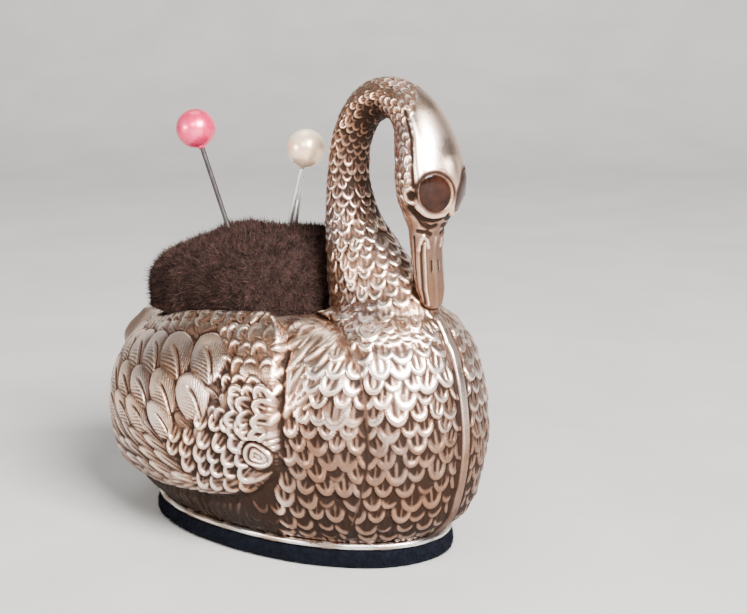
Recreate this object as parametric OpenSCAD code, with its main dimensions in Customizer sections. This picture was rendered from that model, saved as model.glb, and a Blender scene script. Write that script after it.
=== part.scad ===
/* [Body] */
// Wall of the stamped silver shells
wall = 0.5; // [0.4:0.05:0.6]
// How far each wing stands out from the body
wing_rise = 0.9; // [0.4:0.1:1.2]
// How far the tail stands out behind the body
tail_reach = 5.2; // [4:0.2:5.6]
// Height of the polished seam ridge down the breast
ridge_rise = 0.45; // [0.2:0.05:0.6]

/* [Foot] */
// Thickness of the velvet-covered pad under the foot
pad_h = 1.75; // [1.5:0.05:1.8]
// Diameter of the polished foot wire
rim_wire_d = 0.85; // [0.7:0.05:0.85]
// Half length of the foot
foot_half_l = 17.9; // [17:0.1:18.2]
// Half width of the foot
foot_half_w = 10.6; // [10:0.1:11]
// Top of the base board inside the foot
board_top = 3.9; // [3.5:0.1:3.95]

/* [Eyes] */
// Radius of each glass eye
eye_r = 1.65; // [1.3:0.05:1.75]
// How far each eye is let into the head
eye_sink = 0.5; // [0.4:0.05:0.6]
// Height of each eye's dome
eye_dome = 0.35; // [0.2:0.05:0.5]

/* [Pins] */
// Diameter of a pin's wire
pin_d = 0.5; // [0.4:0.05:0.6]
// Diameter of the pink pearl head
pink_head_d = 4.2; // [3.5:0.1:4.5]
// Diameter of the cream pearl head
cream_head_d = 4; // [3.5:0.1:4.5]
// Length of each pearl-headed pin from its point to the middle of its head
pin_l = 28; // [24:0.5:28]
// Diameter of the sewing needle
needle_d = 0.6; // [0.5:0.05:0.7]
// Length of the sewing needle
needle_l = 26; // [22:0.5:27]
// Radial room around each pin in the cushion
pin_room = 0.06; // [0.03:0.01:0.1]

/* [Fineness] */
// Columns of facets round each half of the body
body_cols = 28; // [16:2:32]
// Facet rows from one section of the body to the next
body_steps = 2; // [1:1:3]
// Columns of facets round each half of the neck
neck_cols = 12; // [8:1:14]

/* [Hidden] */

silver = [0.78, 0.70, 0.65];
glass_brown = [0.36, 0.22, 0.18];

// Sections of the body from the foot to the mouth of the cushion opening:
// height in front, height behind, length in front, length behind, half width
BODY = [
    [2.6, 2.6, foot_half_l, foot_half_l, foot_half_w],
    [4.8, 4.8, 20.2, 21.0, 12.4],
    [8, 8, 21.4, 23.1, 13.4],
    [12, 11.5, 22.0, 23.4, 13.9],
    [16, 14.8, 21.8, 22.6, 13.9],
    [19.5, 17.6, 21.1, 21.4, 13.2],
    [22.3, 19.4, 19.9, 19.7, 11.9],
    [24.1, 20.5, 16.5, 18.6, 10.7],
    [24.4, 21.0, 6.6, 18.1, 9.9]
];
// Angle of the furrow between breast and shoulder at each body section
FURROW = [44, 43, 41, 39, 39, 40, 43, 42, 24];
body_last = len(BODY) - 1;
// Squareness of the body's sections, and of the front of the cushion
body_square = 2.1;
soft_square = 2.7;

// Sections of the breast, neck, head and beak above the body's sixth section:
// centre x, centre z, tilt, depth towards the throat seam, depth towards the back seam,
// half width, angle at which the section ends
NECK = [
    [6.0, 24.1, 0, 12.9, 12.9, 7.6, 61],
    [11.0, 25.0, 0, 7.2, 5.4, 5.0, 140],
    [11.4, 25.4, 9, 6.0, 5.6, 4.5, 160],
    [11.0, 26.0, 14, 5.6, 5.5, 4.1, 180],
    [9.9, 28.4, 10, 4.7, 4.6, 3.85, 180],
    [8.8, 30.9, 5, 3.55, 3.5, 3.6, 180],
    [7.8, 33.2, 0, 2.7, 2.7, 3.1, 180],
    [7.3, 35.2, 0, 2.1, 2.1, 2.75, 180],
    [7.0, 37.2, -2, 1.8, 1.8, 2.45, 180],
    [7.1, 39.2, -6, 1.75, 1.75, 2.3, 180],
    [7.5, 41.3, -22, 1.8, 1.8, 2.2, 180],
    [8.7, 43.7, -45, 1.9, 1.9, 2.1, 180],
    [10.4, 45.1, -68, 2.0, 2.0, 2.1, 180],
    [12.3, 45.5, -90, 2.0, 2.0, 2.1, 180],
    [14.2, 45.0, -112, 2.1, 2.1, 2.25, 180],
    [15.8, 43.7, -138, 2.5, 2.3, 2.6, 180],
    [16.9, 41.6, -162, 2.9, 2.6, 3.3, 180],
    [17.5, 39.6, -175, 3.1, 2.7, 3.8, 180],
    [17.6, 37.8, -180, 3.1, 2.9, 4.0, 180],
    [17.6, 36.0, -180, 2.8, 2.5, 3.7, 180],
    [17.5, 34.6, -180, 2.4, 1.9, 3.0, 180],
    [17.3, 33.2, -180, 1.7, 1.15, 2.3, 180],
    [17.2, 31.5, -180, 1.4, 0.95, 2.1, 180],
    [17.4, 29.5, -180, 1.2, 0.85, 2.05, 180],
    [17.7, 27.5, -180, 0.95, 0.7, 1.95, 180],
    [17.95, 26.1, -180, 0.7, 0.5, 1.5, 180],
    [18.1, 25.5, -180, 0.4, 0.3, 0.8, 180]
];
// Body sections that the breast shares, one row of the breast table each
shared_rows = 7;
BREAST = concat(
    [for (k = [0:shared_rows - 1])
        [0, BODY[k][0], 0, BODY[k][2], BODY[k][2], BODY[k][4], FURROW[k]]],
    NECK
);
breast_last = len(BREAST) - 1;
// Sections of the stuffing, from the board to the dome under the cover: the body's columns,
// and the share of the mouth's lift at the sides
STUFFING_LOW = [
    [board_top, board_top, 17.2, 17.2, 9.8, 0],
    [8, 8, 19.6, 21.2, 11.7, 0],
    [12, 11.5, 20.2, 21.5, 12.1, 0],
    [16, 14.8, 20.0, 20.7, 12.1, 0],
    [19.3, 17.0, 19.0, 19.2, 11.2, 0.2],
    [21.3, 18.4, 12, 17.6, 9.6, 0.6]
];
// Sections of the dome, inside and outside the cushion's cover
DOME_IN = [
    [22.4, 19.4, 4.0, 16.2, 8.0, 1],
    [24.4, 21.2, 4.0, 16.5, 8.2, 1],
    [25.5, 22.3, 3.95, 18.5, 9.1, 1],
    [27.1, 24.3, 3.8, 18.9, 9.2, 0.5],
    [28.8, 26.4, 3.4, 17.6, 8.6, 0.15],
    [30.0, 28.3, 2.3, 14.9, 7.1, 0],
    [30.5, 29.5, 0.6, 10.8, 4.5, 0]
];
DOME_OUT = [
    [22.4, 19.0, 4.8, 17.1, 8.8, 1],
    [24.3, 20.9, 4.9, 17.4, 9.1, 1],
    [25.0, 21.5, 4.9, 19.5, 10.0, 1],
    [27.2, 24.2, 4.8, 19.8, 10.1, 0.5],
    [29.3, 26.7, 4.4, 18.6, 9.6, 0.15],
    [30.8, 28.9, 3.3, 15.8, 8.1, 0],
    [31.4, 30.3, 1.3, 11.6, 5.3, 0]
];
DOME_IN_TOP = [-5.5, 0, 30.6];
DOME_OUT_TOP = [-5.5, 0, 31.5];
soft_cols = 40;

// Head centre of each pin, top of the needle, and how far each leans backwards from upright
pink_top = [-12.5, -2.5, 41.4];
pink_lean = -25;
cream_top = [0.25, 1, 39.8];
cream_lean = 17;
needle_top = [-2.5, 3.4, 36.6];
needle_lean = 13;
// How far each pin can be pushed in, and how deep its hole in the stuffing goes past that
pink_push = 8.4;
cream_push = 6.6;
needle_push = 4.5;
hole_spare = 0.3;
point_l = 2.5;
hole_out = 14;

// Middle of each eye on the head, and the way it looks: towards the side, and down
eye_at = [19.75, 1.95, 36.9];
eye_turn = 23;
eye_down = 8;

// Where the hollow of the neck stops, and the head and beak are solid
chin_row = 24;
// Angles of the first columns beside the seam ridge
ridge_edge = 1.4;
ridge_foot = 3.2;

// Smooth curve through the rows of a table, u counted in rows
function row_of(tab, i) = tab[max(0, min(len(tab) - 1, i))];
function through(tab, u) =
    let (i = min(floor(u), len(tab) - 2), f = u - i,
         p0 = row_of(tab, i - 1), p1 = row_of(tab, i), p2 = row_of(tab, i + 1), p3 = row_of(tab, i + 2))
    p1 + 0.5 * f * (p2 - p0 + f * (2 * p0 - 5 * p1 + 4 * p2 - p3 + f * (3 * (p1 - p2) + p3 - p0)));
function smooth(a, b, x) = let (s = max(0, min(1, (x - a) / (b - a)))) s * s * (3 - 2 * s);
function signed_pow(v, n) = sign(v) * pow(abs(v), n);

// How much higher the mouth's edge is at the sides
function mouth_lift(phi) = 1.4 * exp(-pow((phi - 92) / 32, 2));
// The body's point at angle phi from straight ahead, on the right side
function body_point(phi, u) =
    let (q = through(BODY, u), c = cos(phi), s = sin(phi), front = (1 + c) / 2)
    [
        (c > 0 ? q[2] : q[3]) * signed_pow(c, 2 / body_square),
        -q[4] * signed_pow(s, 2 / body_square),
        q[1] + (q[0] - q[1]) * front + mouth_lift(phi) * smooth(5, 8, u)
    ];
function furrow(u) = through([for (a = FURROW) [a]], u)[0];

// Wing and tail relief of the body, as a distance outwards
function wing_edge(phi) = 1.3 + 1.35 * exp((66 - phi) / 14);
function wing(phi, u) =
    wing_rise * smooth(65, 68, phi) * smooth(wing_edge(phi) - 0.25, wing_edge(phi) + 0.35, u)
        * (1 - smooth(7.2, 8, u)) * (1 - 0.8 * smooth(100, 140, phi) * smooth(3.5, 6.5, u));
function tail(phi, u) =
    tail_reach * exp(-pow((180 - phi) / 9, 2)) * smooth(2.8, 4.8, u) * (1 - 0.8 * smooth(6.5, 7.5, u));

// Breast, neck and head surface: section u, angle th from the throat seam
function neck_raw(u, th) =
    let (q = through(BREAST, u), c = cos(th), s = sin(th), depth = c > 0 ? q[3] : q[4],
         n = 2 / body_square + (1 - 2 / body_square) * min(1, u - shared_rows + 1))
    u <= shared_rows - 1
        ? body_point(th, u)
        : [q[0] + cos(q[2]) * depth * signed_pow(c, n), -q[5] * signed_pow(s, n),
           q[1] + sin(q[2]) * depth * c];
function end_angle(u) = u <= shared_rows - 1 ? furrow(u) : min(180, through(BREAST, u)[6]);
function edge_shift(u) =
    let (v = min(u, body_last))
    (body_point(furrow(v), v) - neck_raw(v, end_angle(v))) * max(0, 1 - (u - v) / 1.5);
function neck_point(u, th) =
    u <= shared_rows - 1 ? neck_raw(u, th) : neck_raw(u, th) + edge_shift(u) * pow(th / end_angle(u), 2);
function ridge(u, th) = ridge_rise * (1 - smooth(ridge_edge, ridge_foot, th)) * (1 - smooth(6.5, 9, u));

function cross_unit(a, b) = let (n = cross(a, b)) n / norm(n);
// Outward normals, from small steps along the surface
function body_normal(phi, u) =
    let (e = 0.02, u0 = max(0, u - e), u1 = min(body_last, u + e))
    cross_unit(
        body_point(phi - 0.5, u) - body_point(phi + 0.5, u),
        body_point(phi, u1) - body_point(phi, u0)
    );
function neck_normal(u, th) =
    let (e = 0.02, u0 = max(0, u - e), u1 = min(breast_last, u + e), t0 = max(0, th - 0.5), t1 = th + 0.5)
    cross_unit(neck_point(u, t0) - neck_point(u, t1), neck_point(u1, th) - neck_point(u0, th));
function flat_y(p, at_seam) = at_seam ? [p[0], 0, p[2]] : p;

// Grid of points as one flat list, and the faces between neighbours
function flat_list(rows) = [for (r = rows) for (p = r) p];
function grid_faces(rows, cols, from, flip) = [
    for (i = [0:rows - 2]) for (j = [0:cols - 2])
        let (a = from + i * cols + j, b = a + 1, c = a + cols + 1, d = a + cols)
        each (flip ? [[a, d, c], [a, c, b]] : [[a, b, c], [a, c, d]])
];
// Strip of faces between two lists of point numbers
function strip(p, q) = [for (k = [0:len(p) - 2]) each [[p[k], q[k], q[k + 1]], [p[k], q[k + 1], p[k + 1]]]];

// Right half of the body: outer skin with wing and tail, inner skin inside the wall
body_rows = body_last * body_steps + 1;
function body_column(u, j) = let (f = furrow(u)) f + (180 - f) * j / body_cols;
function body_grid(outer) = [
    for (i = [0:body_rows - 1]) [
        for (j = [0:body_cols])
            let (u = i / body_steps, phi = body_column(u, j), n = body_normal(min(phi, 179.4), u),
                 w = wing(phi, u), out = outer ? w : w * 0.8 - wall,
                 p = body_point(phi, u) + n * out - (outer ? [tail(phi, u), 0, 0] : [0, 0, 0]))
            flat_y(p, j == body_cols)
    ]
];
module body_half() {
    cols = body_cols + 1;
    total = body_rows * cols;
    top = (body_rows - 1) * cols;
    front_out = [for (i = [0:body_rows - 1]) i * cols];
    back_out = [for (i = [0:body_rows - 1]) i * cols + cols - 1];
    bottom_out = [for (j = [0:cols - 1]) j];
    top_out = [for (j = [0:cols - 1]) top + j];
    function inner(list) = [for (k = list) k + total];
    polyhedron(
        points = concat(flat_list(body_grid(true)), flat_list(body_grid(false))),
        faces = concat(
            grid_faces(body_rows, cols, 0, false),
            grid_faces(body_rows, cols, total, true),
            strip(inner(front_out), front_out),
            strip(back_out, inner(back_out)),
            strip(bottom_out, inner(bottom_out)),
            strip(inner(top_out), top_out)
        )
    );
}

// Right half of the breast, neck, head and beak
breast_us = concat(
    [for (k = [0:1 / body_steps:body_last]) k],
    [for (k = [body_last + 0.5:0.5:breast_last]) k]
);
breast_rows = len(breast_us);
hollow_rows = len([for (u = breast_us) if (u <= chin_row) u]);
function neck_column(u, j) =
    let (e = end_angle(u))
    j == 0 ? 0 : j == 1 ? ridge_edge : j == 2 ? ridge_foot : ridge_foot + (e - ridge_foot) * (j - 2) / (neck_cols - 2);
function neck_grid(rows, depth) = [
    for (i = [0:rows - 1]) [
        for (j = [0:neck_cols])
            let (u = breast_us[i], th = neck_column(u, j), n = neck_normal(u, min(th, 179.4)),
                 p = neck_point(u, th) + n * (depth > 0 ? -depth : ridge(u, th)))
            flat_y(p, j == 0 || (j == neck_cols && end_angle(u) > 179.9))
    ]
];
module breast_half() {
    cols = neck_cols + 1;
    total = breast_rows * cols;
    last = breast_rows - 1;
    h = hollow_rows - 1;
    front_out = [for (i = [0:h]) i * cols];
    back_out = [for (i = [0:h]) i * cols + neck_cols];
    bottom_out = [for (j = [0:neck_cols]) j];
    function inner(list) = [for (k = list) k + total];
    polyhedron(
        points = concat(flat_list(neck_grid(breast_rows, 0)), flat_list(neck_grid(hollow_rows, wall))),
        faces = concat(
            grid_faces(breast_rows, cols, 0, false),
            grid_faces(hollow_rows, cols, total, true),
            strip(inner(front_out), front_out),
            strip(back_out, inner(back_out)),
            strip(bottom_out, inner(bottom_out)),
            // end of the hollow, the first solid seam face, then the solid head and beak
            [[for (j = [0:neck_cols]) total + h * cols + neck_cols - j]],
            [[total + h * cols, h * cols, (h + 1) * cols, (h + 1) * cols + neck_cols,
              h * cols + neck_cols, total + h * cols + neck_cols]],
            [for (i = [h + 1:last - 1])
                [i * cols, (i + 1) * cols, (i + 1) * cols + neck_cols, i * cols + neck_cols]],
            [[for (j = [0:neck_cols]) last * cols + j]]
        )
    );
}

// Closed loft through rows of sections all round, with a flat bottom and an apex
function loft_rows(tab) = [
    for (q = tab) [
        for (j = [0:soft_cols - 1])
            let (phi = 360 * j / soft_cols, c = cos(phi), s = sin(phi), n = 2 / (c > 0 ? soft_square : body_square))
            [(c > 0 ? q[2] : q[3]) * signed_pow(c, n), -q[4] * signed_pow(s, n),
             q[1] + (q[0] - q[1]) * (1 + c) / 2 + q[5] * mouth_lift(min(phi, 360 - phi))]
    ]
];
function loft_faces(rows, from, flip) = [
    for (i = [0:rows - 2]) for (j = [0:soft_cols - 1])
        let (k = (j + 1) % soft_cols, a = from + i * soft_cols + j, b = from + i * soft_cols + k,
             c = b + soft_cols, d = a + soft_cols)
        each (flip ? [[a, d, c], [a, c, b]] : [[a, b, c], [a, c, d]])
];
function fan(from, apex, flip) = [
    for (j = [0:soft_cols - 1])
        let (a = from + j, b = from + (j + 1) % soft_cols)
        flip ? [b, a, apex] : [a, b, apex]
];

// Lays a pin or needle along its lean, its top at a given point
module leaning(top, lean) {
    translate(top) rotate([0, lean, 0]) children();
}
// Hole in the soft parts for a pin of a given length, wire and push
module pin_hole(len, d, push) {
    translate([0, 0, -len - push - hole_spare])
        cylinder(h = len + push + hole_spare + hole_out, r = d / 2 + pin_room, $fn = 32);
}
module pin_holes() {
    leaning(pink_top, pink_lean) pin_hole(pin_l, pin_d, pink_push);
    leaning(cream_top, cream_lean) pin_hole(pin_l, pin_d, cream_push);
    leaning(needle_top, needle_lean) pin_hole(needle_l, needle_d, needle_push);
}
// Sharpened wire hanging down from its top
module sharp_wire(len, d) {
    translate([0, 0, -len + point_l]) cylinder(h = len - point_l, r = d / 2, $fn = 32);
    translate([0, 0, -len]) cylinder(h = point_l, r1 = 0.04, r2 = d / 2, $fn = 32);
}
module pearl_head(d) {
    difference() {
        sphere(d = d, $fn = 48);
        translate([0, 0, -d]) cylinder(h = d + pin_d, r = pin_d / 2, $fn = 32);
    }
}
module pin_shank() {
    sharp_wire(pin_l, pin_d);
    cylinder(h = pin_d, r = pin_d / 2, $fn = 32);
}

// Places a piece on the right-hand eye, its axis along the way the eye looks
module on_eye() {
    translate([eye_at[0], -eye_at[1], eye_at[2]]) rotate([0, 90 + eye_down, -eye_turn]) children();
}
module eye_socket() {
    on_eye() translate([0, 0, -eye_sink]) cylinder(h = 2, r = eye_r, $fn = 48);
}
module eye_glass() {
    dome_r = (eye_r * eye_r + eye_dome * eye_dome) / (2 * eye_dome);
    on_eye() translate([0, 0, -eye_sink]) {
        cylinder(h = eye_sink, r = eye_r, $fn = 48);
        translate([0, 0, eye_sink]) intersection() {
            translate([0, 0, eye_dome - dome_r]) sphere(r = dome_r, $fn = 64);
            cylinder(h = eye_r, r = eye_r, $fn = 48);
        }
    }
}

// Foot outline, grown or shrunk
function foot_outline(grow) = [
    for (phi = [0:5:355])
        [(foot_half_l + grow) * signed_pow(cos(phi), 2 / body_square),
         (foot_half_w + grow) * signed_pow(sin(phi), 2 / body_square)]
];
rim_sides = 8;
rim_steps = 72;
// Round wire swept round the foot's outline
module rim_sweep() {
    inset = wall / 2;
    points = [
        for (i = [0:rim_steps - 1])
            let (phi = 360 * i / rim_steps, c = cos(phi), s = sin(phi),
                 p = [(foot_half_l - inset) * signed_pow(c, 2 / body_square),
                      (foot_half_w - inset) * signed_pow(s, 2 / body_square)],
                 n = [foot_half_w * c, foot_half_l * s] / norm([foot_half_w * c, foot_half_l * s]))
            for (k = [0:rim_sides - 1])
                let (a = 360 * (k + 0.5) / rim_sides, r = rim_wire_d / 2 / cos(180 / rim_sides))
                [p[0] + n[0] * r * cos(a), p[1] + n[1] * r * cos(a), pad_h + rim_wire_d / 2 + r * sin(a)]
    ];
    faces = [
        for (i = [0:rim_steps - 1]) for (k = [0:rim_sides - 1])
            let (m = (i + 1) % rim_steps, l = (k + 1) % rim_sides)
            each [
                [i * rim_sides + k, m * rim_sides + l, m * rim_sides + k],
                [i * rim_sides + k, i * rim_sides + l, m * rim_sides + l]
            ]
    ];
    polyhedron(points = points, faces = faces);
}

module body_shell_right() color(silver) body_half();
module body_shell_left() color(silver) mirror([0, 1, 0]) body_half();
module breast_neck_right() color(silver) difference() {
    breast_half();
    eye_socket();
}
module breast_neck_left() color(silver) mirror([0, 1, 0]) difference() {
    breast_half();
    eye_socket();
}
module foot_rim() color([0.85, 0.80, 0.76]) rim_sweep();
module eye_right() color(glass_brown) eye_glass();
module eye_left() color(glass_brown) mirror([0, 1, 0]) eye_glass();
module base_board() color("tan")
    translate([0, 0, pad_h]) linear_extrude(height = board_top - pad_h) polygon(foot_outline(-0.9));
module base_cover() color([0.04, 0.05, 0.09])
    linear_extrude(height = pad_h) polygon(foot_outline(0.5));
module stuffing() color("wheat") difference() {
    rows = len(STUFFING_LOW) + len(DOME_IN);
    polyhedron(
        points = concat(flat_list(loft_rows(concat(STUFFING_LOW, DOME_IN))), [DOME_IN_TOP]),
        faces = concat(
            loft_faces(rows, 0, false),
            fan((rows - 1) * soft_cols, rows * soft_cols, false),
            [[for (j = [0:soft_cols - 1]) soft_cols - 1 - j]]
        )
    );
    pin_holes();
}
module cushion_cover() color([0.28, 0.20, 0.18]) difference() {
    rows = len(DOME_OUT);
    inner = rows * soft_cols;
    polyhedron(
        points = concat(flat_list(loft_rows(DOME_OUT)), flat_list(loft_rows(DOME_IN)),
                        [DOME_OUT_TOP, DOME_IN_TOP]),
        faces = concat(
            loft_faces(rows, 0, false),
            loft_faces(rows, inner, true),
            fan(inner - soft_cols, 2 * inner, false),
            fan(2 * inner - soft_cols, 2 * inner + 1, true),
            [for (j = [0:soft_cols - 1])
                let (k = (j + 1) % soft_cols)
                each [[j, inner + j, inner + k], [j, inner + k, k]]]
        )
    );
    pin_holes();
}
module pink_pin_shank() color("silver") leaning(pink_top, pink_lean) pin_shank();
module pink_pin_head() color([0.92, 0.47, 0.58]) leaning(pink_top, pink_lean) pearl_head(pink_head_d);
module cream_pin_shank() color("silver") leaning(cream_top, cream_lean) pin_shank();
module cream_pin_head() color([0.95, 0.88, 0.82]) leaning(cream_top, cream_lean) pearl_head(cream_head_d);
module needle() color("gainsboro") leaning(needle_top, needle_lean) sharp_wire(needle_l, needle_d);

body_shell_right();
body_shell_left();
breast_neck_right();
breast_neck_left();
foot_rim();
eye_right();
eye_left();
base_board();
base_cover();
stuffing();
cushion_cover();
pink_pin_shank();
pink_pin_head();
cream_pin_shank();
cream_pin_head();
needle();
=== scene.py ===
"""Looks of the swan pincushion: embossed silver skins, velvet cushion and pad, pearl-headed pins, needle."""
import math

import bmesh
import bpy
import numpy as np
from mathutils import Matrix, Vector


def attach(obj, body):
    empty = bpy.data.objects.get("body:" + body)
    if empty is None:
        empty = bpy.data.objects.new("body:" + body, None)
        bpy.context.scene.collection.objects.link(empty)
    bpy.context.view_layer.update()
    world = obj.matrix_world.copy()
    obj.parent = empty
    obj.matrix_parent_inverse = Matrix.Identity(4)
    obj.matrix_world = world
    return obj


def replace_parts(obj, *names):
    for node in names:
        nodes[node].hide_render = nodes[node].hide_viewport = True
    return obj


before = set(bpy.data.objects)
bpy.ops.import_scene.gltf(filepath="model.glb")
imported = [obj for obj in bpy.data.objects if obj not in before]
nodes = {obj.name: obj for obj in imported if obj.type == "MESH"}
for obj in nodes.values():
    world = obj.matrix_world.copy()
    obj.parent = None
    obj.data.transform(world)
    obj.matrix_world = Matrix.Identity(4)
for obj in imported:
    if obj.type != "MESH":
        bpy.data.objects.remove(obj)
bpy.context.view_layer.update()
MM = 0.001
rng = np.random.default_rng(41)


# ---------------------------------------------------------------- shape of the swan, as in the CAD
# Body sections: height in front and behind, half length in front and behind, half width
BODY = [
    [2.6, 2.6, 17.9, 17.9, 10.6],
    [4.8, 4.8, 20.2, 21.0, 12.4],
    [8, 8, 21.4, 23.1, 13.4],
    [12, 11.5, 22.0, 23.4, 13.9],
    [16, 14.8, 21.8, 22.6, 13.9],
    [19.5, 17.6, 21.1, 21.4, 13.2],
    [22.3, 19.4, 19.9, 19.7, 11.9],
    [24.1, 20.5, 16.5, 18.6, 10.7],
    [24.4, 21.0, 6.6, 18.1, 9.9],
]
# Degrees from straight ahead to the furrow, where breast and body meet, at each section of the body
FURROW = [44, 43, 41, 39, 39, 40, 43, 42, 24]
BODY_SQUARE = 2.1
# Neck sections: x and height of the middle, tilt, half depth in front and behind, half width, last angle
NECK = [
    [6.0, 24.1, 0, 12.9, 12.9, 7.6, 61],
    [11.0, 25.0, 0, 7.2, 5.4, 5.0, 140],
    [11.4, 25.4, 9, 6.0, 5.6, 4.5, 160],
    [11.0, 26.0, 14, 5.6, 5.5, 4.1, 180],
    [9.9, 28.4, 10, 4.7, 4.6, 3.85, 180],
    [8.8, 30.9, 5, 3.55, 3.5, 3.6, 180],
    [7.8, 33.2, 0, 2.7, 2.7, 3.1, 180],
    [7.3, 35.2, 0, 2.1, 2.1, 2.75, 180],
    [7.0, 37.2, -2, 1.8, 1.8, 2.45, 180],
    [7.1, 39.2, -6, 1.75, 1.75, 2.3, 180],
    [7.5, 41.3, -22, 1.8, 1.8, 2.2, 180],
    [8.7, 43.7, -45, 1.9, 1.9, 2.1, 180],
    [10.4, 45.1, -68, 2.0, 2.0, 2.1, 180],
    [12.3, 45.5, -90, 2.0, 2.0, 2.1, 180],
    [14.2, 45.0, -112, 2.1, 2.1, 2.25, 180],
    [15.8, 43.7, -138, 2.5, 2.3, 2.6, 180],
    [16.9, 41.6, -162, 2.9, 2.6, 3.3, 180],
    [17.5, 39.6, -175, 3.1, 2.7, 3.8, 180],
    [17.6, 37.8, -180, 3.1, 2.9, 4.0, 180],
    [17.6, 36.0, -180, 2.8, 2.5, 3.7, 180],
    [17.5, 34.6, -180, 2.4, 1.9, 3.0, 180],
    [17.3, 33.2, -180, 1.7, 1.15, 2.3, 180],
    [17.2, 31.5, -180, 1.4, 0.95, 2.1, 180],
    [17.4, 29.5, -180, 1.2, 0.85, 2.05, 180],
    [17.7, 27.5, -180, 0.95, 0.7, 1.95, 180],
    [17.95, 26.1, -180, 0.7, 0.5, 1.5, 180],
    [18.1, 25.5, -180, 0.4, 0.3, 0.8, 180],
]
# The breast starts with the body's first sections
SHARED = 7
BREAST = [[0, b[0], 0, b[2], b[2], b[4], f] for b, f in zip(BODY[:SHARED], FURROW)] + NECK
BODY_END = len(BODY) - 1.0
BREAST_END = len(BREAST) - 1.0


def smooth(a, b, x):
    t = np.clip((np.asarray(x, float) - a) / (b - a), 0, 1)
    return t * t * (3 - 2 * t)


def fall(a, b, x):
    return 1 - smooth(a, b, x)


def bell(x, middle, width):
    """1 at the middle, falling away to both sides."""
    return np.exp(-(((x - middle) / width) ** 2))


def through(tab, u):
    """Smooth curve through the rows of a table, u counted in rows."""
    tab = np.asarray(tab, float)
    u = np.asarray(u, float)
    i = np.clip(np.floor(u).astype(int), 0, len(tab) - 2)
    f = (u - i)[..., None]
    p0, p1 = tab[np.maximum(i - 1, 0)], tab[i]
    p2, p3 = tab[i + 1], tab[np.minimum(i + 2, len(tab) - 1)]
    return p1 + 0.5 * f * (p2 - p0 + f * (2 * p0 - 5 * p1 + 4 * p2 - p3 + f * (3 * (p1 - p2) + p3 - p0)))


def signed_pow(v, n):
    return np.sign(v) * np.abs(v) ** n


def mouth_lift(phi):
    """How much higher the mouth's edge is at the sides."""
    return 1.4 * bell(np.asarray(phi, float), 92, 32)


def body_at(phi, u):
    """Right side of the body, phi degrees round from straight ahead."""
    q = through(BODY, u)
    c, s = np.cos(np.radians(phi)), np.sin(np.radians(phi))
    n = 2 / BODY_SQUARE
    x = np.where(c > 0, q[..., 2], q[..., 3]) * signed_pow(c, n)
    y = -q[..., 4] * signed_pow(s, n)
    z = q[..., 1] + (q[..., 0] - q[..., 1]) * (1 + c) / 2 + mouth_lift(phi) * smooth(5, 8, u)
    return np.stack([x, y, z], -1)


def furrow(u):
    return through([[a] for a in FURROW], u)[..., 0]


def wing_edge(phi):
    """Section number of the wing's lower edge."""
    return 1.3 + 1.35 * np.exp(-(np.asarray(phi, float) - 66) / 14)


def wing_rise(phi, u):
    e = wing_edge(phi)
    rear = 0.8 * smooth(100, 140, phi) * smooth(3.5, 6.5, u)
    return 0.9 * smooth(65, 68, phi) * smooth(e - 0.25, e + 0.35, u) * fall(7.2, 8, u) * (1 - rear)


def tail_reach(phi, u):
    return 5.2 * bell(phi, 180, 9) * smooth(2.8, 4.8, u) * (1 - 0.8 * smooth(6.5, 7.5, u))


def neck_raw(u, th):
    u, th = np.broadcast_arrays(np.asarray(u, float), np.asarray(th, float))
    q = through(BREAST, u)
    c, s = np.cos(np.radians(th)), np.sin(np.radians(th))
    n = 2 / BODY_SQUARE + (1 - 2 / BODY_SQUARE) * np.clip(u - 6, 0, 1)
    depth = np.where(c > 0, q[..., 3], q[..., 4])
    tilt = np.radians(q[..., 2])
    high = np.stack(
        [
            q[..., 0] + np.cos(tilt) * depth * signed_pow(c, n),
            -q[..., 5] * signed_pow(s, n),
            q[..., 1] + np.sin(tilt) * depth * c,
        ],
        -1,
    )
    low = body_at(th, np.minimum(u, SHARED - 1))
    return np.where((u <= SHARED - 1)[..., None], low, high)


def end_angle(u):
    u = np.asarray(u, float)
    high = np.minimum(180, through(BREAST, u)[..., 6])
    return np.where(u <= SHARED - 1, furrow(np.minimum(u, BODY_END)), high)


def neck_point(u, th):
    u, th = np.broadcast_arrays(np.asarray(u, float), np.asarray(th, float))
    v = np.minimum(u, BODY_END)
    shift = body_at(furrow(v), v) - neck_raw(v, end_angle(v))
    fade = np.clip(1 - (u - v) / 1.5, 0, 1) * (th / end_angle(u)) ** 2
    fade = np.where(u <= SHARED - 1, 0, fade)
    return neck_raw(u, th) + shift * fade[..., None]


# ---------------------------------------------------------------- relief of the silver


def unit(v):
    return v / np.maximum(np.linalg.norm(v, axis=-1, keepdims=True), 1e-12)


def run_length(pts):
    """Distance along a line of points, from its first."""
    return np.concatenate([[0], np.cumsum(np.linalg.norm(np.diff(pts, axis=0), axis=1))])


def curve(places, values):
    """A function that runs straight from each place's value to the next."""
    return lambda v: float(np.interp(v, places, values))


def frame_at(surface, u, th):
    """Point on the right half, its outward normal, and the unit directions rearwards and upwards on it."""
    p = surface(u, th)
    back = unit(surface(u, min(th + 0.5, 180)) - surface(u, max(th - 0.5, 0)))
    rise = surface(u + 0.02, th) - surface(max(u - 0.02, 0), th)
    up = unit(rise - back * (rise @ back))
    return p, np.cross(back, up), back, up


def body_point(u, phi):
    u = np.minimum(u, BODY_END)
    return body_at(np.asarray(phi, float), np.asarray(u, float))


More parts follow.
